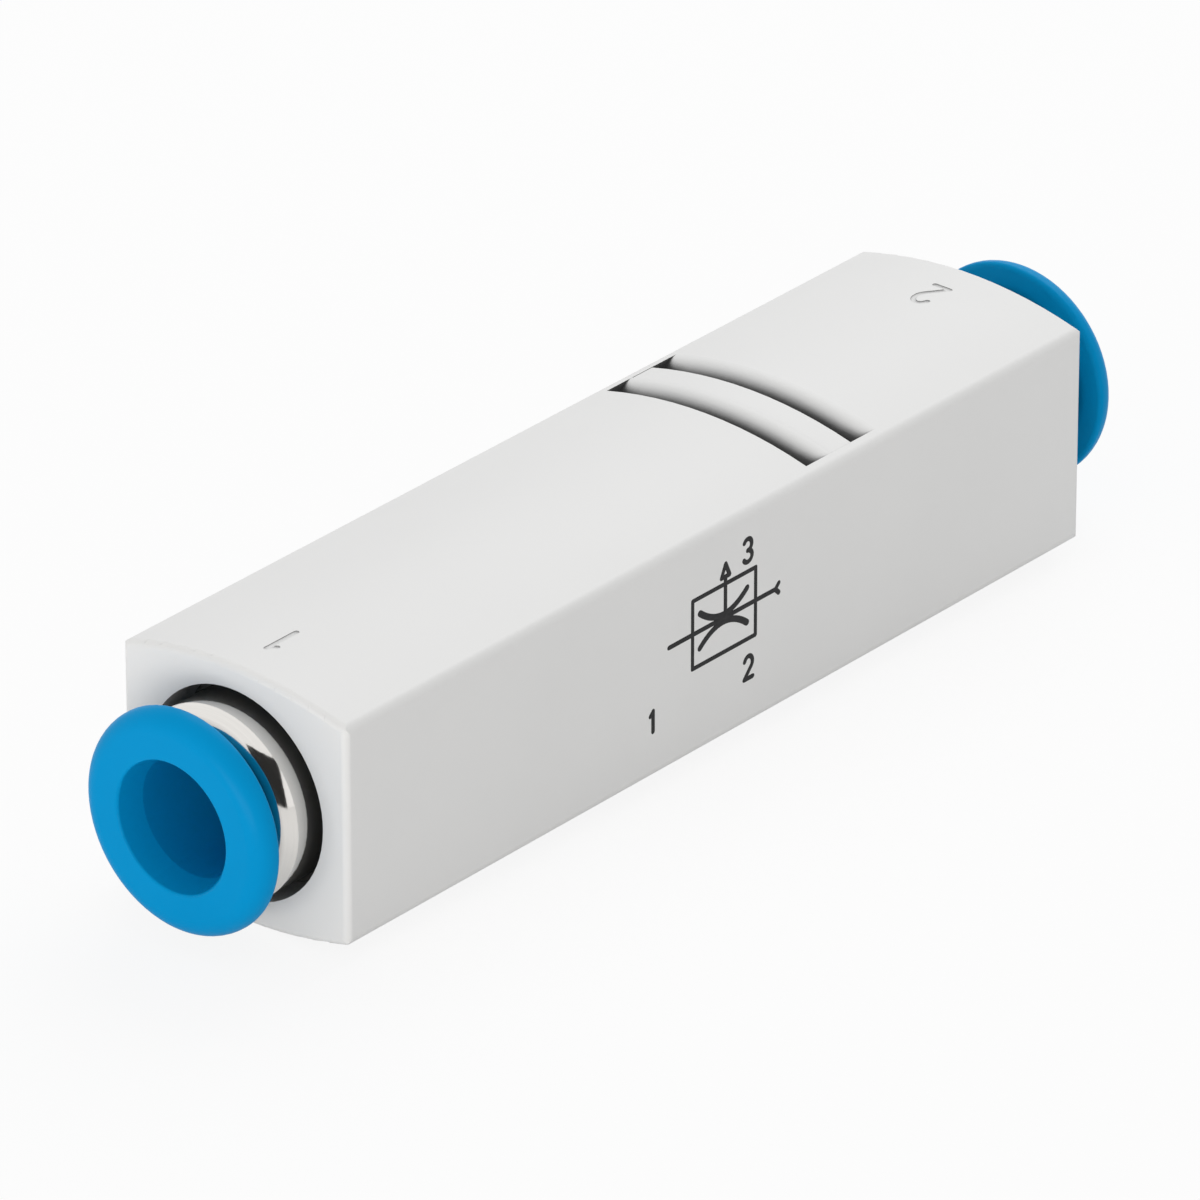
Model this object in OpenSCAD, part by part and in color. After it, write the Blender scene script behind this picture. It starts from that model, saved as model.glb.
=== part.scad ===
// In-line vacuum ejector with a push-in tube port at each end.
// Compressed air enters at the supply end (-X), leaves the jet nozzle, crosses the suction
// chamber into the receiver nozzle and blows out through the louvre slots in the top.
// The vacuum port (+X) reaches the suction chamber through a flat channel under the receiver.
// All sizes are in millimetres. The origin is the centre of the housing, on the port axis.

/* [Housing] */
// Length of the moulded housing between its two end faces
body_l = 55; // [50:0.5:80]
// Width across the two flat sides
body_w = 14; // [13.4:0.1:18]
// Height of a flat side, from sharp edge to sharp edge
side_h = 11.5; // [11:0.1:16]
// Rise of the crowned top, and of the crowned underside, over the edges of the flat sides
crown_rise = 1; // [0.5:0.1:2]
// Radius of the four long edges
long_edge_r = 0.5; // [0.2:0.05:0.9]
// Radius of the edges round the end faces
face_edge_r = 0.35; // [0.1:0.05:0.6]
// Thickness of the wall between the exhaust chamber and the vacuum chamber
partition_t = 2.4; // [1:0.1:4]

/* [Exhaust slots] */
// Number of louvre slots
slot_count = 2; // [1:1:3]
// Width of a slot's open throat, along the housing
slot_w = 0.7; // [0.4:0.05:1.2]
// Distance from one slot to the next
slot_pitch = 3.4; // [2.6:0.1:4.5]
// Radius of the rolled edge on the vacuum side of each slot
slot_roll_r = 1.2; // [0.5:0.05:1.4]
// Drop of the bar between two slots below the crown
bar_drop = 0.02; // [0.01:0.01:0.1]
// Wall left between a slot's end and the flat side of the housing
slot_end_wall = 0.7; // [0.5:0.1:3]
// Depth of a slot below the crown
slot_depth = 5.2; // [4.6:0.1:6]
// Distance from a slot's throat to the nearest end wall of the exhaust chamber
slot_margin = 1.3; // [0.3:0.1:2.5]

/* [Tube port] */
// Bore that takes the tube
port_d = 6.2; // [6.05:0.05:6.4]
// Radial wall of the tube seat, which also sets the bore of the nozzle stack
seat_wall = 1.3; // [0.9:0.05:1.4]
// Depth of the tube seat, up to the stop that the tube ends on
seat_depth = 2; // [1:0.1:3]
// Thickness of the tube stop
stop_t = 0.6; // [0.4:0.1:1.2]
// Width of the ledge that stops the tube
stop_ledge = 1; // [0.6:0.05:1.3]
// Width of the ledge in the housing that the seat or the nozzle rests on
stack_ledge = 0.3; // [0.2:0.05:0.6]

/* [Cartridge sleeve] */
// Depth of the sleeve's inner end below the end face of the housing
sleeve_depth = 8.6; // [8.2:0.1:10]
// Length of sleeve that stands out of the housing
nose_l = 2.1; // [1.6:0.1:3]
// Wall of the sleeve's nose
nose_wall = 0.72; // [0.6:0.02:0.9]
// Length, and height, of the rounded bevel on the nose's outer front edge
nose_bevel = 0.95; // [0.4:0.05:1]
// Radius of that bevel's rounding
nose_round_r = 1.8; // [1:0.1:3]
// Length of the lip that keeps the release ring in
lip_l = 2.9; // [1.8:0.1:3.2]
// Open ring between the sleeve's nose and the housing bore
mouth_gap = 0.5; // [0.3:0.05:0.6]
// Depth of that open ring
mouth_depth = 2.6; // [1.4:0.1:2.9]
// Step between the release ring's chamber and the bore behind it
stack_step = 0.25; // [0.15:0.05:0.4]
// Cord of the O-ring on the sleeve, as fitted
sleeve_cord = 0.8; // [0.5:0.05:0.9]
// Number of holding barbs round the sleeve
barb_count = 3; // [1:1:4]
// Depth of the cuts between the holding barbs
barb_cut = 0.25; // [0.1:0.05:0.4]

/* [Release ring] */
// Wall of the release ring's inner tube
ring_wall = 0.8; // [0.6:0.05:0.9]
// Diameter of the flange that a finger presses
flange_d = 11.5; // [10.6:0.1:12.6]
// Thickness of the flange at its inner part
flange_t = 1.3; // [0.9:0.05:2]
// How much the bore widens towards its mouth, in radius
lead_h = 0.3; // [0.1:0.05:0.4]
// Depth of the widening lead-in
lead_l = 1.5; // [0.8:0.1:2.5]
// Radius of the bore's mouth
mouth_r = 0.15; // [0.1:0.05:0.3]
// Radius that rounds the front of the flange to its rim
flange_front_r = 1; // [0.2:0.05:1.2]
// Radius of the flange's back edge
flange_back_r = 0.25; // [0.1:0.05:0.4]
// Open gap between the flange and the sleeve's nose
press_gap = 1.1; // [0.6:0.1:1.6]
// Height of the snap rim that holds the ring behind the sleeve's lip
snap_h = 0.3; // [0.2:0.05:0.35]
// Length of the snap rim
snap_l = 0.8; // [0.5:0.1:1.4]
// Length of the snap rim's steep side, which the lip holds
snap_steep_l = 0.2; // [0.05:0.05:0.3]
// Number of fingers that the inner tube is slit into
finger_count = 6; // [3:1:8]
// Length of the fingers, which carry the snap rim
finger_l = 2.6; // [2.5:0.1:4.5]
// Width of a slit between two fingers
finger_slit = 0.6; // [0.3:0.05:0.8]

/* [Claw ring, support ring and tube seal] */
// Sheet thickness of the claw ring
claw_t = 0.2; // [0.15:0.05:0.3]
// Width of the claw ring's flat rim
claw_rim = 0.55; // [0.4:0.05:0.7]
// How far the claw tips stand inside the tube bore
claw_bite = 0.25; // [0.15:0.01:0.26]
// How far the claws lean inwards along the axis
claw_lean = 0.8; // [0.4:0.05:1]
// Number of claws
claw_count = 12; // [6:1:16]
// Width of the slit between two claws
claw_slit = 0.45; // [0.2:0.05:0.6]
// Length of the support ring
support_l = 1.8; // [1.5:0.1:2.4]
// Room behind the claws for them to bend
claw_room = 0.3; // [0.15:0.05:0.5]
// Length of the tube seal
seal_l = 2.2; // [1.6:0.1:2.6]
// How far the seal's lip stands inside the tube bore
seal_bite = 0.22; // [0.1:0.01:0.25]
// Radius of the seal's lip
seal_lip_r = 0.55; // [0.35:0.05:0.7]

/* [Jet nozzle] */
// Length of the nozzle's head
nozzle_head_l = 3.3; // [2.4:0.1:5]
// Length of the nozzle's tip beyond the head
nozzle_tip_l = 2.8; // [1.5:0.1:3.1]
// Diameter of the tip at the head
nozzle_tip_d = 3; // [2.4:0.1:4]
// Diameter of the tip at its end
nozzle_end_d = 2; // [1.4:0.1:2.3]
// Diameter of the throat
nozzle_throat_d = 0.5; // [0.4:0.05:0.9]
// Diameter of the jet at the nozzle's exit
nozzle_exit_d = 0.75; // [0.6:0.05:1.2]
// Length of the throat's flare up to the exit
nozzle_flare_l = 1.8; // [1:0.1:2.6]
// Cord of the nozzle's O-ring, as fitted
nozzle_cord = 0.9; // [0.6:0.05:1.1]

/* [Receiver nozzle and suction path] */
// Length of the suction chamber round the nozzle's tip
suction_l = 4; // [3.6:0.1:6]
// Bore of the housing round the receiver nozzle
receiver_bore_d = 5.6; // [5:0.1:5.8]
// Thickness of the receiver's flange
receiver_flange_t = 0.8; // [0.4:0.05:0.8]
// Height of the receiver's flange over its bore in the housing
receiver_flange_h = 0.5; // [0.3:0.05:0.6]
// Diameter of the receiver's inlet
receiver_inlet_d = 3.4; // [2.8:0.1:4]
// Length of the receiver's inlet cone
receiver_inlet_l = 3; // [2:0.1:4]
// Diameter of the receiver's mixing throat
receiver_throat_d = 1.2; // [0.9:0.05:1.8]
// Length of the mixing throat
receiver_throat_l = 5; // [2:0.1:6]
// Diameter of the receiver's outlet
receiver_outlet_d = 2.8; // [2:0.1:2.9]
// Cord of the receiver's O-rings, as fitted
receiver_cord = 0.8; // [0.5:0.05:0.9]
// Distance from a receiver O-ring to the nearer end of the receiver's body
receiver_ring_inset = 1.2; // [0.8:0.1:2]
// Wall between the receiver's bore and the vacuum channel
channel_wall = 0.6; // [0.5:0.05:0.9]
// Height of the vacuum channel
channel_h = 1.4; // [1:0.1:1.5]
// Width of the vacuum channel
channel_w = 5.4; // [3:0.1:5.6]
// Length of the chamber between the vacuum port's tube stop and the partition
vacuum_chamber_l = 1.6; // [0.8:0.1:2.5]

/* [Silencer] */
// Wall of the porous silencer tube
silencer_wall = 1.05; // [0.6:0.05:1.3]

/* [Clearances] */
// Radial gap round pieces that are pressed into a bore
fit_gap = 0.02; // [0.01:0.01:0.05]
// Radial gap round the sliding release ring
run_gap = 0.08; // [0.05:0.01:0.1]
// Gap left at each end of the release ring's travel
end_gap = 0.1; // [0.05:0.01:0.15]
// Gap between an O-ring's cord and its groove
cord_gap = 0.01; // [0.005:0.005:0.02]
// Room beside an O-ring along its groove
groove_room = 0.3; // [0.2:0.05:0.4]

/* [Hidden] */

$fn = 72;
supply = -1;
vacuum = 1;
crown_fn = 360;  // facets round the wide circle of the crown
cut = 1;  // how far a cutting shape runs past the surface it opens
corner_cut = 0.1;  // the same for the shape that rounds a corner

// Radii about the port axis, from the tube bore outwards
port_r = port_d / 2;
ring_r = port_r + ring_wall;
lip_r = ring_r + run_gap;
snap_r = ring_r + snap_h;
chamber_r = snap_r + run_gap;
stack_r = chamber_r + stack_step;
sleeve_nose_r = chamber_r + nose_wall;
bore_r = sleeve_nose_r + mouth_gap;
sleeve_r = bore_r - fit_gap;
head_r = port_r + seat_wall;
inner_chamber_r = head_r - stack_ledge;
receiver_bore_r = receiver_bore_d / 2;
receiver_r = receiver_bore_r - fit_gap;
flange_r = flange_d / 2;

// Crown: the cylinder that the top and the underside are part of
body_h = side_h + 2 * crown_rise;
crown_r = (pow(body_w / 2, 2) + pow(crown_rise, 2)) / (2 * crown_rise);
crown_z = body_h / 2 - crown_r;

// Depths below an end face
claw_s = sleeve_depth - seal_l - support_l - claw_t;
support_s = claw_s + claw_t;
seal_s = support_s + support_l;
seat_end_s = sleeve_depth + seat_depth + stop_t;
groove_s = mouth_depth + groove_room;
barb_s = claw_s + claw_t;
flange_back_s = -nose_l - press_gap;
ring_travel = press_gap - end_gap;
ring_nose_s = claw_s - ring_travel - end_gap;
snap_s = -nose_l + lip_l + end_gap / 2;

// Depths of the nozzle stack, from the supply end face
nozzle_end_s = seat_end_s + nozzle_head_l;
nozzle_groove_l = nozzle_cord + groove_room;
nozzle_groove_s = seat_end_s + (nozzle_head_l - nozzle_groove_l) / 2;
web_s = nozzle_end_s + suction_l;

// Places along X
web_x = web_s - body_l / 2;
partition_x = body_l / 2 - seat_end_s - vacuum_chamber_l - partition_t;
exhaust_l = 2 * slot_margin + slot_w + (slot_count - 1) * slot_pitch;
exhaust_x = partition_x - exhaust_l;
receiver_l = exhaust_x - web_x;
receiver_groove_l = receiver_cord + groove_room;
receiver_rear_groove = receiver_l - receiver_ring_inset - receiver_groove_l;
channel_z = -receiver_bore_r - channel_wall - channel_h / 2;

// Puts shapes drawn along +Z, from an end face inwards, at the supply or the vacuum end
module at_port(side) {
  mirror([side == vacuum ? 1 : 0, 0, 0])
    translate([-body_l / 2, 0, 0])
      rotate([0, 90, 0])
        children();
}

// Puts shapes drawn along +Z on the port axis, with their base at x
module along_x(x) {
  translate([x, 0, 0])
    rotate([0, 90, 0])
      children();
}

// Section of a ring from radius r0 to r1 and from depth s0 to s1, for rotate_extrude()
module band(r0, r1, s0, s1) {
  translate([r0, s0])
    square([r1 - r0, s1 - s0]);
}

// What rounding a corner with radius r takes away; dr and ds point from the corner into the shape
module corner_off(corner, r, dr, ds) {
  translate(corner)
    flipped(dr, ds)
      difference() {
        translate([-corner_cut, -corner_cut])
          square(r + corner_cut);
        translate([r, r])
          circle(r);
      }
}

// Turns a shape over along each axis whose sign is negative
module flipped(dr, ds) {
  mirror([dr < 0 ? 1 : 0, 0])
    mirror([0, ds < 0 ? 1 : 0])
      children();
}

// Torus for an O-ring of the given cord that seals against a bore of radius r
module oring(r, cord, s) {
  color([0.1, 0.1, 0.11])
    rotate_extrude()
      translate([r - cord / 2, s + (cord + groove_room) / 2])
        circle(cord / 2 - cord_gap);
}

// ---------------------------------------------------------------- housing

// Cross-section with rounded long edges; the crowns trim it at the top and the underside
module edge_section() {
  edge_y = body_w / 2 - long_edge_r;
  edge_z = crown_z + sqrt(pow(crown_r - long_edge_r, 2) - pow(edge_y, 2));
  crown_end_y = edge_y * crown_r / (crown_r - long_edge_r);
  square([2 * crown_end_y, body_h + 2 * cut], center = true);
  square([body_w, 2 * edge_z], center = true);
  for (y = [-edge_y, edge_y], z = [-edge_z, edge_z])
    translate([y, z])
      circle(long_edge_r);
}

// Outline with the corners rounded by r, centred
module rounded_square(w, h, r) {
  square([w - 2 * r, h], center = true);
  square([w, h - 2 * r], center = true);
  for (x = [-1, 1], y = [-1, 1])
    translate([x * (w / 2 - r), y * (h / 2 - r)])
      circle(r);
}

// Round bar whose side is the crowned top, with the edges of its ends rounded
module crown_bar() {
  translate([0, 0, crown_z])
    rotate([0, 90, 0])
      rotate_extrude($fn = crown_fn)
        intersection() {
          rounded_square(2 * crown_r, body_l, face_edge_r);
          translate([0, -body_l / 2])
            square([crown_r, body_l]);
        }
}

module housing_blank() {
  intersection() {
    rotate([90, 0, 90])
      linear_extrude(body_l + 2 * cut, center = true)
        edge_section();
    linear_extrude(body_h + 2 * cut, center = true)
      rounded_square(body_l, body_w, face_edge_r);
    crown_bar();
    mirror([0, 0, 1])
      crown_bar();
  }
}

// Louvre slots: a straight throat with a rolled edge on the vacuum side, swept round the crown
module exhaust_slots() {
  slot_len = body_w - 2 * slot_end_wall;
  intersection() {
    translate([0, 0, crown_z])
      rotate([0, 90, 0])
        rotate_extrude($fn = crown_fn)
          for (i = [0 : slot_count - 1])
            translate([crown_r, exhaust_x + slot_margin + i * slot_pitch]) {
              translate([-slot_depth, 0])
                square([slot_depth + cut, slot_w]);
              translate([0, slot_w])
                corner_off([0, 0], slot_roll_r, -1, 1);
              if (i < slot_count - 1)
                translate([-bar_drop, slot_w + slot_roll_r])
                  square([bar_drop + cut, slot_pitch - slot_w - slot_roll_r]);
            }
    translate([exhaust_x, -slot_len / 2, 0])
      cube([exhaust_l + slot_roll_r + cut, slot_len, body_h]);
  }
}

// Flat channel with round sides, from the vacuum port's shoulder to the suction chamber
module vacuum_channel() {
  start_x = nozzle_end_s + groove_room - body_l / 2;
  end_x = body_l / 2 - sleeve_depth;
  side_y = (channel_w - channel_h) / 2;
  translate([start_x, -side_y, channel_z - channel_h / 2])
    cube([end_x - start_x, 2 * side_y, channel_h]);
  for (y = [-side_y, side_y])
    translate([0, y, channel_z])
      along_x(start_x)
        cylinder(d = channel_h, h = end_x - start_x);
}

// Stepped bore of one end: the sleeve, then the seat and nozzle stack, then the inner chamber
module port_bore(stack_end_s, chamber_end_s) {
  rotate_extrude() {
    band(0, bore_r, -cut, sleeve_depth);
    band(0, head_r, 0, stack_end_s);
    band(0, inner_chamber_r, 0, chamber_end_s);
  }
}

module housing() {
  color([0.88, 0.88, 0.88])
    difference() {
      housing_blank();
      at_port(supply)
        port_bore(nozzle_end_s, web_s);
      at_port(vacuum)
        port_bore(seat_end_s, seat_end_s + vacuum_chamber_l);
      along_x(web_x - cut)
        cylinder(r = receiver_bore_r, h = partition_x - web_x + cut);
      vacuum_channel();
      exhaust_slots();
    }
}

// ---------------------------------------------------------------- push-in cartridge

// Section cut from the nose's corner: a bevel that bulges as an arc
module nose_cut() {
  centre = nose_bevel / 2 + sqrt((pow(nose_round_r, 2) - pow(nose_bevel, 2) / 2) / 2);
  difference() {
    translate([-centre, -cut])
      square([centre + cut, centre + cut]);
    translate([-centre, centre])
      circle(nose_round_r);
  }
}

// Pressed-in metal sleeve: rounded nose with a keeping lip, O-ring groove and holding barbs
module sleeve() {
  barb_l = (sleeve_depth - barb_s) / barb_count;
  color([0.8, 0.79, 0.77])
    rotate_extrude()
      difference() {
        union() {
          band(lip_r, sleeve_nose_r, -nose_l, mouth_depth + cut);
          band(lip_r, sleeve_r, mouth_depth, sleeve_depth);
        }
        band(0, chamber_r, -nose_l + lip_l, claw_s);
        band(0, stack_r, claw_s, sleeve_depth + cut);
        band(bore_r - sleeve_cord, bore_r, groove_s, groove_s + sleeve_cord + groove_room);
        translate([sleeve_nose_r, -nose_l])
          nose_cut();
        for (i = [0 : barb_count - 1])
          translate([sleeve_r, barb_s + i * barb_l])
            polygon([[0, 0], [cut, 0], [cut, barb_l], [-barb_cut, barb_l]]);
      }
}

// Section cut from the bore's mouth: a cone that helps the tube in, with a rounded edge
module lead_in() {
  lead_angle = atan2(lead_h, lead_l);
  edge_l = mouth_r / tan(45 + lead_angle / 2);
  polygon([[-cut, -cut], [lead_h, -cut], [lead_h, 0], [0, lead_l], [-cut, lead_l]]);
  difference() {
    polygon([[lead_h - cut, -cut], [lead_h + edge_l, -cut], [lead_h + edge_l, mouth_r],
      [lead_h - edge_l * sin(lead_angle), edge_l * cos(lead_angle)], [lead_h - cut, 0]]);
    translate([lead_h + edge_l, mouth_r])
      circle(mouth_r);
  }
}

// Release ring: pressed flange and an inner tube slit into fingers with a snap rim
module release_ring() {
  front_s = flange_back_s - flange_t;
  front_r = min(flange_front_r, flange_t - flange_back_r);
  slit_s = ring_nose_s - finger_l;
  color([0.02, 0.53, 0.8])
    difference() {
      rotate_extrude()
        difference() {
          union() {
            band(port_r, flange_r, front_s, flange_back_s);
            band(port_r, ring_r, front_s, ring_nose_s);
            translate([0, snap_s])
              polygon([[ring_r - run_gap, 0], [snap_r, 0], [snap_r, snap_steep_l],
                [ring_r - run_gap, snap_l]]);
          }
          translate([port_r, front_s])
            lead_in();
          corner_off([flange_r, front_s], front_r, -1, 1);
          corner_off([flange_r, flange_back_s], flange_back_r, -1, -1);
        }
      for (i = [0 : finger_count - 1])
        rotate(i * 360 / finger_count)
          translate([0, -finger_slit / 2, slit_s])
            cube([snap_r + cut, finger_slit, ring_nose_s - slit_s + cut]);
    }
}

// Spring-steel ring whose claws lean inwards and grip the tube
module claw_ring() {
  root_r = stack_r - claw_rim;
  tip_r = port_r - claw_bite;
  color([0.72, 0.73, 0.75])
    difference() {
      rotate_extrude() {
        band(root_r, stack_r - fit_gap, claw_s, claw_s + claw_t);
        polygon([[root_r, claw_s], [root_r, claw_s + claw_t],
          [tip_r, claw_s + claw_t + claw_lean], [tip_r, claw_s + claw_lean]]);
      }
      for (i = [0 : claw_count - 1])
        rotate(i * 360 / claw_count)
          translate([0, -claw_slit / 2, claw_s - cut])
            cube([root_r, claw_slit, claw_t + claw_lean + 2 * cut]);
    }
}

// Ring behind the claws, hollowed so that they can bend
module support_ring() {
  hollow_r = stack_r - claw_rim + claw_room / 2;
  color([0.75, 0.62, 0.35])
    rotate_extrude()
      difference() {
        band(port_r, stack_r - fit_gap, support_s, seal_s);
        translate([0, support_s])
          polygon([[port_r - cut, -cut], [hollow_r, -cut], [hollow_r, 0],
            [port_r, claw_lean + claw_room], [port_r - cut, claw_lean + claw_room]]);
      }
}

// Rubber seal with one round lip that closes on the tube
module tube_seal() {
  lip_centre_r = port_r - seal_bite + seal_lip_r;
  color([0.12, 0.12, 0.13])
    rotate_extrude() {
      band(lip_centre_r, stack_r - fit_gap, seal_s, sleeve_depth);
      translate([lip_centre_r, (seal_s + sleeve_depth) / 2])
        circle(seal_lip_r);
    }
}

// Cup that centres the tube's end, with the ledge that stops it
module tube_seat() {
  color([0.9, 0.9, 0.88])
    rotate_extrude()
      difference() {
        band(port_r - stop_ledge, head_r - fit_gap, sleeve_depth, seat_end_s);
        band(0, port_r, sleeve_depth - cut, sleeve_depth + seat_depth);
      }
}

// ---------------------------------------------------------------- nozzles and silencer

// Turned Laval nozzle: converging inlet, throat and flare, with an O-ring groove in its head
module jet_nozzle() {
  inlet_r = port_r - stop_ledge;
  tip_s = nozzle_end_s + nozzle_tip_l;
  throat_s = tip_s - nozzle_flare_l;
  color([0.78, 0.79, 0.81])
    rotate_extrude()
      difference() {
        polygon([
          [nozzle_throat_d / 2, throat_s], [inlet_r, seat_end_s],
          [head_r - fit_gap, seat_end_s], [head_r - fit_gap, nozzle_end_s],
          [nozzle_tip_d / 2, nozzle_end_s], [nozzle_end_d / 2, tip_s],
          [nozzle_exit_d / 2, tip_s]
        ]);
        band(head_r - nozzle_cord, head_r + cut, nozzle_groove_s, nozzle_groove_s + nozzle_groove_l);
      }
}

module nozzle_oring() {
  oring(head_r, nozzle_cord, nozzle_groove_s);
}

// Receiver: flange, inlet cone, mixing throat and diffuser, with a groove near each end
module receiver_nozzle() {
  color([0.86, 0.85, 0.8])
    along_x(web_x)
      rotate_extrude()
        difference() {
          polygon([
            [receiver_inlet_d / 2, -receiver_flange_t],
            [receiver_bore_r + receiver_flange_h, -receiver_flange_t],
            [receiver_bore_r + receiver_flange_h, 0], [receiver_r, 0],
            [receiver_r, receiver_l], [receiver_outlet_d / 2, receiver_l],
            [receiver_throat_d / 2, receiver_inlet_l + receiver_throat_l],
            [receiver_throat_d / 2, receiver_inlet_l]
          ]);
          for (s = [receiver_ring_inset, receiver_rear_groove])
            band(receiver_bore_r - receiver_cord, receiver_bore_r, s, s + receiver_groove_l);
        }
}

module receiver_oring(s) {
  along_x(web_x)
    oring(receiver_bore_r, receiver_cord, s);
}

// Porous tube that lines the exhaust chamber under the slots
module silencer() {
  color([0.93, 0.93, 0.9])
    along_x(exhaust_x + end_gap)
      difference() {
        cylinder(r = receiver_r, h = exhaust_l - 2 * end_gap);
        translate([0, 0, -cut])
          cylinder(r = receiver_r - silencer_wall, h = exhaust_l + 2 * cut);
      }
}

housing();
at_port(supply) sleeve();  // sleeve_p
at_port(vacuum) sleeve();  // sleeve_v
at_port(supply) oring(bore_r, sleeve_cord, groove_s);  // sleeve_oring_p
at_port(vacuum) oring(bore_r, sleeve_cord, groove_s);  // sleeve_oring_v
at_port(supply) release_ring();  // release_ring_p
at_port(vacuum) release_ring();  // release_ring_v
at_port(supply) claw_ring();  // claw_ring_p
at_port(vacuum) claw_ring();  // claw_ring_v
at_port(supply) support_ring();  // support_ring_p
at_port(vacuum) support_ring();  // support_ring_v
at_port(supply) tube_seal();  // tube_seal_p
at_port(vacuum) tube_seal();  // tube_seal_v
at_port(supply) tube_seat();  // tube_seat_p
at_port(vacuum) tube_seat();  // tube_seat_v
at_port(supply) jet_nozzle();
at_port(supply) nozzle_oring();
receiver_nozzle();
receiver_oring(receiver_ring_inset);  // receiver_oring_front
receiver_oring(receiver_rear_groove);  // receiver_oring_rear
silencer();
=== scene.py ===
"""Looks of an in-line vacuum ejector with two push-in tube ports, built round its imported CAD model.

The CAD solids carry the shape. This script adds their materials, the numbers moulded into the top,
the port symbol and numbers printed on one side, and a pale studio. Lengths are in metres.
"""

import math

import bmesh
import bpy
from mathutils import Matrix, Vector
from mathutils.bvhtree import BVHTree
from mathutils.geometry import barycentric_transform


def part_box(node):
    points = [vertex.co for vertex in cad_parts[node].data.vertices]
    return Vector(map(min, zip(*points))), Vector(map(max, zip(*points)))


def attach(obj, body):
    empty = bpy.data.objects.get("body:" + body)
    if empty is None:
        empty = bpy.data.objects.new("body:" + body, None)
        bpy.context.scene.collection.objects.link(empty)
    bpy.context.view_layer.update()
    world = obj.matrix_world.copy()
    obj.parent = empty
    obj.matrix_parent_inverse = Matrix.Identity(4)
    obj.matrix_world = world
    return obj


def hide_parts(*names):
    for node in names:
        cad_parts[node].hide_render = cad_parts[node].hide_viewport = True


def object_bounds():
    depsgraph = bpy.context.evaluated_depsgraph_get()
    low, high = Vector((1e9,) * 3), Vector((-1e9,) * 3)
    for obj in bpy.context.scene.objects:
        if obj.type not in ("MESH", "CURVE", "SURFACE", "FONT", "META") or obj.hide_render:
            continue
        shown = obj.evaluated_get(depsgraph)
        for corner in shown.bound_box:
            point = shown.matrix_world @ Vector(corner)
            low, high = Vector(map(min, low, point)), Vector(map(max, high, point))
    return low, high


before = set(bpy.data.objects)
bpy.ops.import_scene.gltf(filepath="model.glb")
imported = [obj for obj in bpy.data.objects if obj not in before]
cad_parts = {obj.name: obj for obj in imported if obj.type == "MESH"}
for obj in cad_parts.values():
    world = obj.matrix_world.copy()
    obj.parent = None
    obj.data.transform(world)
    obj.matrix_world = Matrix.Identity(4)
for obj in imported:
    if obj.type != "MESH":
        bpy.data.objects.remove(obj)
cad_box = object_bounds()

MM = 0.001

# Camera, seen from the supply end and the printed side
CAMERA_AZIMUTH = math.radians(-49.7)
CAMERA_ELEVATION = math.radians(27.5)
CAMERA_DISTANCE = 600 * MM
CAMERA_LENS = 372.2
CAMERA_SENSOR = 36.0
CAMERA_CLIP = (0.01, 10)
# The aim lies off the housing's centre, as the object isn't centred in view
AIM_RIGHT = -0.68 * MM
AIM_UP = -0.63 * MM

# Numbers sunk into the crown, in millimetres: distance from the end, half sizes of the number and of
# its stroke, and depth
NUMBER_INSET = 3.4
NUMBER_SIZE = (0.75, 1.05)
NUMBER_HALF_W = 0.15
NUMBER_DEPTH = 0.08

# The cut housing, in millimetres: vertices this close are one, in the solid and then after the cuts
WELD = 0.0001
SLIVER = 0.001

# Its normals: how far a corner is moved into its face to find it on the solid, how close it must then
# be, both in millimetres, and how well the two faces must agree, as a cosine
NORMAL_INSET = 0.02
ON_SURFACE = 0.002
SAME_FACE = 0.9

RING_TURN = math.radians(21)  # of the supply end's release ring

# Round ends of a stroke: turns in degrees at which its last cross-sections stand
END_TURNS = (35, 65, 88)

# Symbol and numbers printed on the side, in millimetres from the middle of its face
BOX_LEFT, BOX_RIGHT, BOX_BOTTOM, BOX_TOP = -2.45, 2.27, -1.13, 2.53
FLOW_Z = 0.73
FLOW_START, FLOW_END, FLOW_FORK = -4.2, 3.76, 0.26
WALL_START, WALL_END, WALL_MOUTH, WALL_WAIST = -1.9, 1.62, 0.94, 0.2
EXHAUST_BASE, EXHAUST_TIP, EXHAUST_HALF_W = 2.92, 3.6, 0.3
PRINTED_NUMBERS = (  # number, centre, half sizes
    (1, (-5.38, -2.77), (0.46, 0.55)),
    (2, (1.76, -2.7), (0.52, 0.6)),
    (3, (1.66, 3.67), (0.56, 0.62)),
)
LINE_HALF_W = 0.135
FINE_HALF_W = 0.125
WALL_HALF_W = LINE_HALF_W * 1.3
WALL_STEPS = 16
INK_HEIGHT = 0.012

ROOM_LIGHT = 0.62

# Lights: name, azimuth and elevation in degrees, distance, width and height in metres, radiance, colour
SOFTBOXES = (
    ("top_light", 20, 46, 1.0, (0.8, 0.8), 2.45, (1, 1, 1)),
    ("end_light", 193, 3, 0.5, (0.4, 0.14), 5.9, (1, 0.975, 0.94)),
)

# Dark cards that only reflections show: name, azimuth, elevation, distance, width and height
CARDS = (
    ("card_front", 220, 24, 0.4, (0.36, 0.42)),
)
CARD_COLOUR = (0.01, 0.01, 0.01)

# Floor: half its size in metres, its colour, and its share of plain white as seen and as reflected
FLOOR_HALF = 2.0
FLOOR_COLOUR = (0.85, 0.85, 0.85)
FLOOR_SEEN = 0.88
FLOOR_REFLECTED = 0.4

# Colours, as linear values
HOUSING_COLOUR = (0.76, 0.76, 0.755)
BLUE = (0.001, 0.268, 0.575)
NICKEL = (0.78, 0.76, 0.73)
INK = (0.016, 0.016, 0.017)
RUBBER = (0.012, 0.012, 0.013)
STEEL = (0.55, 0.56, 0.58)
BRASS = (0.62, 0.44, 0.18)
WHITE_PLASTIC = (0.78, 0.78, 0.74)
ALUMINIUM = (0.72, 0.73, 0.75)

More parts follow.
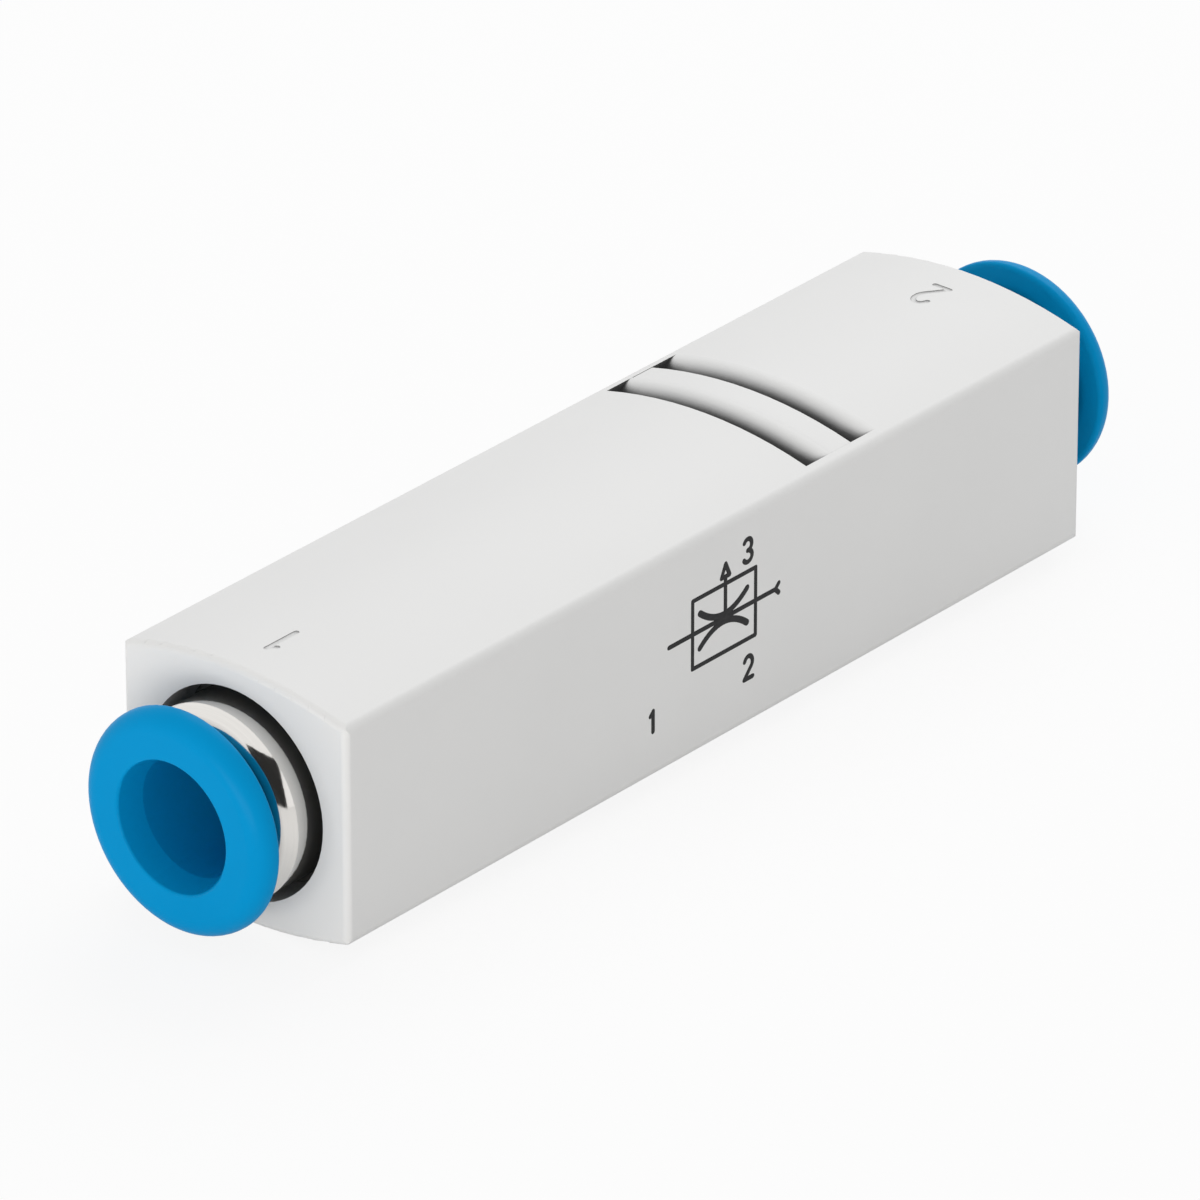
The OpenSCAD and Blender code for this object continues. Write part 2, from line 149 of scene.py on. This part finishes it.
# Range of a noise value that is spread over a change in tone or gloss
NOISE_LOW = 0.3
NOISE_HIGH = 0.7

# Painted shade in crevices, multiplied into the base colour: how far away a surface hems another in, then
# for each look the open share at its dark and at its plain end, and the painted shades at both
CREVICE_REACH = 1.5 * MM
CREVICE_SAMPLES = 16
SLOT_SHADES = (0.62, 0.9, 0.12, 1)
HOUSING_SHADES = (0.2, 0.6, 0.8, 1)
RING_SHADES = (0.3, 0.75, 0.05, 1)
METAL_SHADES = (0.55, 1, 0.4, 1)


# ---------------------------------------------------------------- materials


def principled(name, colour, roughness, metallic=0.0, specular=0.5):
    """A material with a Principled shader, and its node tree."""
    material = bpy.data.materials.new(name)
    material.use_nodes = True
    tree = material.node_tree
    shader = tree.nodes["Principled BSDF"]
    shader.inputs["Base Color"].default_value = (*colour, 1)
    shader.inputs["Roughness"].default_value = roughness
    shader.inputs["Metallic"].default_value = metallic
    shader.inputs["Specular IOR Level"].default_value = specular
    return material, tree, shader


def noise(tree, size, detail=2.0, roughness=0.5, stretch=(1, 1, 1)):
    """Noise with grains of the given size, fixed to the object."""
    place = tree.nodes.new("ShaderNodeTexCoord")
    mapping = tree.nodes.new("ShaderNodeMapping")
    mapping.inputs["Scale"].default_value = stretch
    texture = tree.nodes.new("ShaderNodeTexNoise")
    texture.inputs["Scale"].default_value = 1 / size
    texture.inputs["Detail"].default_value = detail
    texture.inputs["Roughness"].default_value = roughness
    tree.links.new(place.outputs["Object"], mapping.inputs["Vector"])
    tree.links.new(mapping.outputs["Vector"], texture.inputs["Vector"])
    return texture.outputs["Fac"]


def spread(tree, value, low, high):
    """Maps a noise value to a range."""
    node = tree.nodes.new("ShaderNodeMapRange")
    node.inputs["From Min"].default_value = NOISE_LOW
    node.inputs["From Max"].default_value = NOISE_HIGH
    node.inputs["To Min"].default_value = low
    node.inputs["To Max"].default_value = high
    tree.links.new(value, node.inputs["Value"])
    return node.outputs["Result"]


def tinted(tree, value, colour, change):
    """A colour that goes from darker to lighter with a noise value, by the share change."""
    ramp = tree.nodes.new("ShaderNodeValToRGB")
    ramp.color_ramp.elements[0].position = NOISE_LOW
    ramp.color_ramp.elements[1].position = NOISE_HIGH
    for element, factor in zip(ramp.color_ramp.elements, (1 - change, 1 + change)):
        element.color = (*(min(1, c * factor) for c in colour), 1)
    tree.links.new(value, ramp.inputs["Fac"])
    return ramp.outputs["Color"]


def bump(tree, value, height, strength=1.0):
    """A bump of the given height in metres."""
    node = tree.nodes.new("ShaderNodeBump")
    node.inputs["Distance"].default_value = height
    node.inputs["Strength"].default_value = strength
    tree.links.new(value, node.inputs["Height"])
    return node.outputs["Normal"]


def moulded_plastic(name, colour, roughness, grain, height, mottle=0.015, specular=0.5):
    """Moulded plastic: a fine grain in the surface, and a slow change in tone and gloss."""
    material, tree, shader = principled(name, colour, roughness, specular=specular)
    links = tree.links
    slow = noise(tree, 9 * MM, detail=3)
    links.new(tinted(tree, slow, colour, mottle), shader.inputs["Base Color"])
    links.new(spread(tree, slow, roughness - 0.04, roughness + 0.04), shader.inputs["Roughness"])
    links.new(bump(tree, noise(tree, grain, detail=4), height), shader.inputs["Normal"])
    return material


def paint_crevice_shade(material, reach, shades, by_itself=False):
    """Paints shade into a surface's base colour where it is hemmed in, by itself as in a slot, or by any
    piece beside it.
    """
    tree = material.node_tree
    colour = tree.nodes["Principled BSDF"].inputs["Base Color"]
    plain = colour.links[0].from_socket
    open_sky = tree.nodes.new("ShaderNodeAmbientOcclusion")
    open_sky.samples = CREVICE_SAMPLES
    open_sky.only_local = by_itself
    open_sky.inputs["Distance"].default_value = reach
    shade = tree.nodes.new("ShaderNodeMapRange")
    for name, value in zip(("From Min", "From Max", "To Min", "To Max"), shades):
        shade.inputs[name].default_value = value
    mix = tree.nodes.new("ShaderNodeVectorMath")
    mix.operation = "SCALE"
    tree.links.new(open_sky.outputs["AO"], shade.inputs["Value"])
    tree.links.new(plain, mix.inputs["Vector"])
    tree.links.new(shade.outputs["Result"], mix.inputs["Scale"])
    tree.links.new(mix.outputs["Vector"], colour)


def turned_metal(name, colour, roughness, groove, height):
    """Turned metal: fine grooves round the port axis."""
    material, tree, shader = principled(name, colour, roughness, metallic=1.0)
    links = tree.links
    lines = noise(tree, groove, detail=2, stretch=(1, 0.02, 0.02))
    links.new(tinted(tree, lines, colour, 0.02), shader.inputs["Base Color"])
    links.new(spread(tree, lines, roughness * 0.7, roughness * 1.4), shader.inputs["Roughness"])
    links.new(bump(tree, lines, height, 0.5), shader.inputs["Normal"])
    return material


def rubber(name):
    """Matt rubber with a fine grain."""
    material, tree, shader = principled(name, RUBBER, 0.55)
    tree.links.new(bump(tree, noise(tree, 0.15 * MM, 3), 0.006 * MM), shader.inputs["Normal"])
    return material


def printed_ink(name):
    """Matt black ink, slightly patchy."""
    material, tree, shader = principled(name, INK, 0.5, specular=0.2)
    patches = noise(tree, 0.12 * MM, 3)
    tree.links.new(tinted(tree, patches, INK, 0.25), shader.inputs["Base Color"])
    return material


def housing_plastic():
    """The housing's plastic, with shade painted into its colour in its slots and round the sleeves."""
    material = moulded_plastic("housing_plastic", HOUSING_COLOUR, roughness=0.5, grain=0.12 * MM,
                               height=0.002 * MM, mottle=0.012, specular=0.4)
    # painted shade in the housing's own hollows: the slots, the sunk numbers and the recess round each
    # sleeve
    paint_crevice_shade(material, CREVICE_REACH, SLOT_SHADES, by_itself=True)
    # painted shade where another piece hems the housing in, round the sleeves
    paint_crevice_shade(material, CREVICE_REACH, HOUSING_SHADES)
    return material


def dress(node, material):
    """Gives a CAD node its material."""
    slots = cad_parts[node].data.materials
    slots.clear()
    slots.append(material)


def dress_nodes():
    """Gives every CAD node but the housing its material."""
    blue = moulded_plastic("ring_plastic", BLUE, roughness=0.3, grain=0.2 * MM, height=0.0015 * MM,
                           mottle=0.04, specular=0.03)
    # painted shade on the ring: in its bore and on its tube between the flange and the sleeve's nose
    paint_crevice_shade(blue, CREVICE_REACH, RING_SHADES)
    nickel = turned_metal("nickel_plating", NICKEL, roughness=0.09, groove=0.05 * MM, height=0.0004 * MM)
    # painted shade on the nickel nose, darker towards the gap round it and beside the ring's flange
    paint_crevice_shade(nickel, CREVICE_REACH, METAL_SHADES)
    steel = turned_metal("spring_steel", STEEL, roughness=0.22, groove=0.04 * MM, height=0.0005 * MM)
    brass = turned_metal("support_brass", BRASS, roughness=0.25, groove=0.05 * MM, height=0.0005 * MM)
    aluminium = turned_metal("nozzle_aluminium", ALUMINIUM, roughness=0.25, groove=0.05 * MM,
                             height=0.0005 * MM)
    white = moulded_plastic("seat_plastic", WHITE_PLASTIC, roughness=0.45, grain=0.2 * MM,
                            height=0.002 * MM)
    porous = moulded_plastic("silencer_plastic", WHITE_PLASTIC, roughness=0.8, grain=0.1 * MM,
                             height=0.05 * MM, mottle=0.08)
    black = rubber("seal_rubber")
    for side in "pv":
        dress(f"sleeve_{side}", nickel)
        dress(f"release_ring_{side}", blue)
        dress(f"claw_ring_{side}", steel)
        dress(f"support_ring_{side}", brass)
        dress(f"tube_seat_{side}", white)
        dress(f"tube_seal_{side}", black)
        dress(f"sleeve_oring_{side}", black)
    dress("jet_nozzle", aluminium)
    dress("receiver_nozzle", white)
    dress("silencer", porous)
    for node in ("nozzle_oring", "receiver_oring_front", "receiver_oring_rear"):
        dress(node, black)


# ---------------------------------------------------------------- strokes of the numbers and the symbol


def arc(centre, radii, start, end, steps=14):
    """Points on an ellipse, anticlockwise from the start angle in degrees to the end."""
    turns = [math.radians(start + (end - start) * i / steps) for i in range(steps + 1)]
    return [(centre[0] + radii[0] * math.cos(t), centre[1] + radii[1] * math.sin(t)) for t in turns]


# Each number is a list of strokes in a box of 2 by 2, centred; no two of them end at the same point,
# as that would leave torn faces where the numbers are cut out of the housing
DIGITS = {
    1: [[(-0.42, 0.62), (0, 0.95)], [(0, 1), (0, -1)]],
    2: [arc((0, 0.42), (0.58, 0.58), 160, -38) + [(-0.57, -0.95)], [(-0.6, -1), (0.62, -1)]],
    3: [arc((0, 0.5), (0.52, 0.5), 150, -90), arc((0, -0.5), (0.58, 0.5), 90, -150)],
}


def tangents(points):
    """Unit direction of a polyline at each of its points."""
    ends = [points[0]] + list(points) + [points[-1]]
    steps = [Vector(b) - Vector(a) for a, b in zip(ends, ends[2:])]
    return [step.normalized() for step in steps]


def stroke_rows(points, half_width):
    """Centre, direction and relative width of each cross-section, with both ends rounded off."""
    points = [Vector(p) for p in points]
    ways = tangents(points)
    rows = [(p, way, 1.0) for p, way in zip(points, ways)]
    for turn in END_TURNS:
        out = half_width * math.sin(math.radians(turn))
        width = math.cos(math.radians(turn))
        rows.insert(0, (points[0] - ways[0] * out, ways[0], width))
        rows.append((points[-1] + ways[-1] * out, ways[-1], width))
    return rows


def add_stroke(mesh, points, half_width, half_height, place, sides=12):
    """Sweeps an ellipse along a flat polyline; place maps its x, y and height to the object."""
    rings = []
    for centre, way, width in stroke_rows(points, half_width):
        across = Vector((-way.y, way.x))
        ring = []
        for i in range(sides):
            turn = 2 * math.pi * i / sides
            flat = centre + across * (half_width * width * math.cos(turn))
            height = half_height * width * math.sin(turn)
            ring.append(mesh.verts.new(place @ Vector((flat.x, flat.y, height))))
        rings.append(ring)
    for a, b in zip(rings, rings[1:]):
        for i in range(sides):
            j = (i + 1) % sides
            mesh.faces.new((a[i], a[j], b[j], b[i]))
    mesh.faces.new(reversed(rings[0]))
    mesh.faces.new(rings[-1])


def strokes_object(name, strokes, half_width, half_height, place):
    """One object made of all the strokes, each a closed solid of its own."""
    build = bmesh.new()
    for points in strokes:
        add_stroke(build, points, half_width, half_height, place)
    bmesh.ops.recalc_face_normals(build, faces=build.faces)
    mesh = bpy.data.meshes.new(name)
    build.to_mesh(mesh)
    build.free()
    mesh.shade_smooth()
    piece = bpy.data.objects.new(name, mesh)
    bpy.context.scene.collection.objects.link(piece)
    return piece


def digit_strokes(digit, centre, size):
    """Strokes of a number, with its half-width and half-height, round its centre."""
    strokes = DIGITS[digit]
    return [[(centre[0] + x * size[0], centre[1] + y * size[1]) for x, y in points] for points in strokes]


def face_plane(origin, right, up):
    """Maps flat x and y, and height above them, to the face with this origin and these directions."""
    right, up = Vector(right), Vector(up)
    turn = Matrix((right, up, right.cross(up))).transposed().to_4x4()
    return Matrix.Translation(origin) @ turn


# ---------------------------------------------------------------- housing with its moulded numbers


def welded(mesh):
    """A copy of a CAD mesh in millimetres, whose faces share their vertices."""
    build = bmesh.new()
    build.from_mesh(mesh)
    bmesh.ops.scale(build, vec=(1 / MM,) * 3, verts=build.verts)
    bmesh.ops.remove_doubles(build, verts=build.verts, dist=WELD)
    result = bpy.data.meshes.new("welded")
    build.to_mesh(result)
    build.free()
    return result


def cut_away(piece, cutter):
    """Cuts a closed solid out of the piece, and deletes the solid."""
    tool = piece.modifiers.new("cut", "BOOLEAN")
    tool.operation = "DIFFERENCE"
    tool.solver = "EXACT"
    tool.object = cutter
    done = piece.evaluated_get(bpy.context.evaluated_depsgraph_get())
    mesh = bpy.data.meshes.new_from_object(done)
    piece.modifiers.clear()
    piece.data = mesh
    bpy.data.objects.remove(cutter)


def keep_normals(mesh, source):
    """Shades the parts of a mesh that lie on the source's surface with the source's own normals."""
    source.calc_loop_triangles()
    corners = [[source.vertices[i].co / MM for i in t.vertices] for t in source.loop_triangles]
    normals = [[source.corner_normals[i].vector for i in t.loops] for t in source.loop_triangles]
    faces = [t.normal for t in source.loop_triangles]
    tree = BVHTree.FromPolygons([c for t in corners for c in t],
                                [(3 * i, 3 * i + 1, 3 * i + 2) for i in range(len(corners))])
    result = []
    for face in mesh.polygons:
        for vertex in face.vertices:
            corner = mesh.vertices[vertex].co
            inwards = face.center - corner
            spot = corner + inwards * min(1, NORMAL_INSET / inwards.length)
            place, _, i, distance = tree.find_nearest(spot)
            normal = face.normal
            if distance < ON_SURFACE and faces[i].dot(face.normal) > SAME_FACE:
                normal = barycentric_transform(place, *corners[i], *normals[i]).normalized()
            result.append(normal.copy())
    mesh.shade_smooth()
    mesh.normals_split_custom_set(result)


def triangulate(mesh):
    """Turns a cut mesh into triangles, without the slivers that the cuts leave."""
    build = bmesh.new()
    build.from_mesh(mesh)
    bmesh.ops.remove_doubles(build, verts=build.verts, dist=SLIVER)
    bmesh.ops.dissolve_degenerate(build, edges=build.edges, dist=SLIVER)
    bmesh.ops.triangulate(build, faces=build.faces, quad_method="BEAUTY", ngon_method="BEAUTY")
    build.to_mesh(mesh)
    build.free()


def make_housing(material):
    """The housing with the port numbers sunk into its crown, in place of the plain solid."""
    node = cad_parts["housing"]
    # Cut in millimetres, because single precision is too coarse for thin triangles in metres
    piece = bpy.data.objects.new("housing_shell", welded(node.data))
    bpy.context.scene.collection.objects.link(piece)
    low, high = (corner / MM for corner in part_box("housing"))
    for digit, x in ((1, low.x + NUMBER_INSET), (2, high.x - NUMBER_INSET)):
        place = face_plane((x, 0, high.z), (0, 1, 0), (-1, 0, 0))
        for points in digit_strokes(digit, (0, 0), NUMBER_SIZE):
            cut_away(piece, strokes_object("stroke", [points], NUMBER_HALF_W, NUMBER_DEPTH, place))
    triangulate(piece.data)
    keep_normals(piece.data, node.data)
    piece.data.transform(Matrix.Scale(MM, 4))
    piece.data.materials.clear()
    piece.data.materials.append(material)
    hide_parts("housing")
    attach(piece, "ejector_body")


def turn_ring(node, body):
    """A release ring turned about the port axis, as it spins freely, so that a finger faces the view."""
    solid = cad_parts[node]
    mesh = solid.data.copy()
    mesh.transform(Matrix.Rotation(RING_TURN, 4, "X"))
    piece = bpy.data.objects.new(f"{node}_turned", mesh)
    bpy.context.scene.collection.objects.link(piece)
    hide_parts(node)
    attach(piece, body)


# ---------------------------------------------------------------- side print


def nozzle_wall(side):
    """One wall of the symbol's nozzle: wide at both ends and narrow at its waist."""
    middle = (WALL_START + WALL_END) / 2
    half = (WALL_END - WALL_START) / 2
    points = []
    for i in range(WALL_STEPS + 1):
        t = 2 * i / WALL_STEPS - 1
        distance = WALL_WAIST + (WALL_MOUTH - WALL_WAIST) * t * t
        points.append((middle + half * t, FLOW_Z + side * distance))
    return points


def outline(corners):
    """Strokes round a polygon."""
    return [[a, b] for a, b in zip(corners, corners[1:] + corners[:1])]


def make_side_print(material):
    """The ejector's symbol and its port numbers, in ink on the side."""
    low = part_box("housing")[0]
    place = face_plane((0, low.y, 0), (1, 0, 0), (0, 0, 1)) @ Matrix.Scale(MM, 4)
    box = outline([(BOX_LEFT, BOX_BOTTOM), (BOX_LEFT, BOX_TOP), (BOX_RIGHT, BOX_TOP),
                   (BOX_RIGHT, BOX_BOTTOM)])
    fork = (FLOW_END, FLOW_Z)
    flow = [[(FLOW_START, FLOW_Z), fork]]
    flow += [[fork, (FLOW_END + FLOW_FORK, FLOW_Z + side * FLOW_FORK)] for side in (1, -1)]
    walls = [nozzle_wall(side) for side in (1, -1)]
    stem = [[(0, FLOW_Z), (0, EXHAUST_BASE)]]
    exhaust = outline([(-EXHAUST_HALF_W, EXHAUST_BASE), (0, EXHAUST_TIP),
                       (EXHAUST_HALF_W, EXHAUST_BASE)])
    numbers = [points for number in PRINTED_NUMBERS for points in digit_strokes(*number)]
    groups = ((box, FINE_HALF_W), (flow + stem + exhaust, LINE_HALF_W), (walls, WALL_HALF_W),
              (numbers, LINE_HALF_W))
    for i, (strokes, half_width) in enumerate(groups):
        piece = strokes_object(f"side_print_{i + 1}", strokes, half_width, INK_HEIGHT, place)
        piece.data.materials.append(material)
        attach(piece, "ejector_body")


# ---------------------------------------------------------------- studio and camera


def seen_directly(tree, to_camera=1.0, reflected=1.0):
    """Share of white for rays that show the background: to the camera, in a reflection or through glass."""
    path = tree.nodes.new("ShaderNodeLightPath")
    total = None
    rays = (("Is Camera Ray", to_camera), ("Is Glossy Ray", reflected), ("Is Transmission Ray", reflected))
    for ray, share in rays:
        node = tree.nodes.new("ShaderNodeMath")
        node.operation = "MULTIPLY_ADD"
        node.use_clamp = True
        node.inputs[1].default_value = share
        node.inputs[2].default_value = 0
        tree.links.new(path.outputs[ray], node.inputs[0])
        if total:
            tree.links.new(total, node.inputs[2])
        total = node.outputs[0]
    return total


def background_material(name, colour, glow_seen, glow_reflected):
    """Renders nearly white to the camera and in reflections, and keeps the object's shadow in part."""
    material = bpy.data.materials.new(name)
    material.use_nodes = True
    tree = material.node_tree
    tree.nodes.clear()
    output = tree.nodes.new("ShaderNodeOutputMaterial")
    diffuse = tree.nodes.new("ShaderNodeBsdfDiffuse")
    diffuse.inputs["Color"].default_value = (*colour, 1)
    glow = tree.nodes.new("ShaderNodeEmission")
    glow.inputs["Color"].default_value = (1, 1, 1, 1)
    mix = tree.nodes.new("ShaderNodeMixShader")
    tree.links.new(seen_directly(tree, glow_seen, glow_reflected), mix.inputs["Fac"])
    tree.links.new(diffuse.outputs[0], mix.inputs[1])
    tree.links.new(glow.outputs[0], mix.inputs[2])
    tree.links.new(mix.outputs[0], output.inputs["Surface"])
    return material


def make_floor():
    """A pale floor that the object stands on."""
    half = FLOOR_HALF
    z = cad_box[0].z
    mesh = bpy.data.meshes.new("floor")
    corners = [(-half, -half, z), (half, -half, z), (half, half, z), (-half, half, z)]
    mesh.from_pydata(corners, [], [(0, 1, 2, 3)])
    floor = bpy.data.objects.new("floor", mesh)
    bpy.context.scene.collection.objects.link(floor)
    mesh.materials.append(background_material("floor", FLOOR_COLOUR, FLOOR_SEEN, FLOOR_REFLECTED))
    floor.visible_shadow = False  # it would count as a wall to the painted crevice shade


def make_world():
    """A dim studio round the object, whose backdrop is white."""
    world = bpy.data.worlds.new("studio")
    bpy.context.scene.world = world
    world.use_nodes = True
    tree = world.node_tree
    tree.nodes.clear()
    output = tree.nodes.new("ShaderNodeOutputWorld")
    seen = tree.nodes.new("ShaderNodeBackground")
    seen.inputs["Color"].default_value = (1, 1, 1, 1)
    lit = tree.nodes.new("ShaderNodeBackground")
    lit.inputs["Color"].default_value = (1, 1, 1, 1)
    lit.inputs["Strength"].default_value = ROOM_LIGHT
    mix = tree.nodes.new("ShaderNodeMixShader")
    tree.links.new(seen_directly(tree), mix.inputs["Fac"])
    tree.links.new(lit.outputs[0], mix.inputs[1])
    tree.links.new(seen.outputs[0], mix.inputs[2])
    tree.links.new(mix.outputs[0], output.inputs["Surface"])


def direction(azimuth, elevation):
    """Away from the object, in degrees; azimuth 0 is +X, 90 is +Y."""
    az, el = math.radians(azimuth), math.radians(elevation)
    return Vector((math.cos(az) * math.cos(el), math.sin(az) * math.cos(el), math.sin(el)))


def softbox(name, azimuth, elevation, distance, size, radiance, colour):
    """A rectangular area light that faces the object."""
    outward = direction(azimuth, elevation)
    light = bpy.data.lights.new(name, "AREA")
    light.shape = "RECTANGLE"
    light.size, light.size_y = size
    light.energy = radiance * math.pi * size[0] * size[1]
    light.color = colour
    lamp = bpy.data.objects.new(name, light)
    lamp.location = outward * distance
    lamp.rotation_euler = outward.to_track_quat("Z", "Y").to_euler()
    bpy.context.scene.collection.objects.link(lamp)


def dark_card(name, azimuth, elevation, distance, size, material):
    """A card that stands where a softbox would, and keeps part of the studio dark in metal."""
    outward = direction(azimuth, elevation)
    half_w, half_h = size[0] / 2, size[1] / 2
    mesh = bpy.data.meshes.new(name)
    corners = [(-half_w, -half_h, 0), (half_w, -half_h, 0), (half_w, half_h, 0), (-half_w, half_h, 0)]
    mesh.from_pydata(corners, [], [(0, 1, 2, 3)])
    mesh.materials.append(material)
    card = bpy.data.objects.new(name, mesh)
    card.location = outward * distance
    card.rotation_euler = outward.to_track_quat("Z", "Y").to_euler()
    card.visible_camera = card.visible_diffuse = card.visible_shadow = False
    bpy.context.scene.collection.objects.link(card)


def make_lights():
    """All lights, and the dark cards."""
    for lamp in SOFTBOXES:
        softbox(*lamp)
    black = principled("card", CARD_COLOUR, 0.9)[0]
    for card in CARDS:
        dark_card(*card, black)


def make_camera():
    """The camera at the chosen side, its horizon level."""
    az, el = CAMERA_AZIMUTH, CAMERA_ELEVATION
    back = Vector((math.sin(az) * math.cos(el), -math.cos(az) * math.cos(el), math.sin(el)))
    right = Vector((math.cos(az), math.sin(az), 0))
    up = back.cross(right)
    aim = right * AIM_RIGHT + up * AIM_UP
    data = bpy.data.cameras.new("camera")
    data.lens = CAMERA_LENS
    data.sensor_width = CAMERA_SENSOR
    data.clip_start, data.clip_end = CAMERA_CLIP
    camera = bpy.data.objects.new("camera", data)
    turn = Matrix((right, up, back)).transposed().to_4x4()
    camera.matrix_world = Matrix.Translation(aim + back * CAMERA_DISTANCE) @ turn
    bpy.context.scene.collection.objects.link(camera)
    bpy.context.scene.camera = camera


make_camera()
make_floor()
make_world()
make_lights()
dress_nodes()
housing = housing_plastic()
dress("housing", housing)
make_housing(housing)
turn_ring("release_ring_p", "release_ring_p")
make_side_print(printed_ink("printed_ink"))
bpy.context.scene.view_settings.view_transform = "Standard"
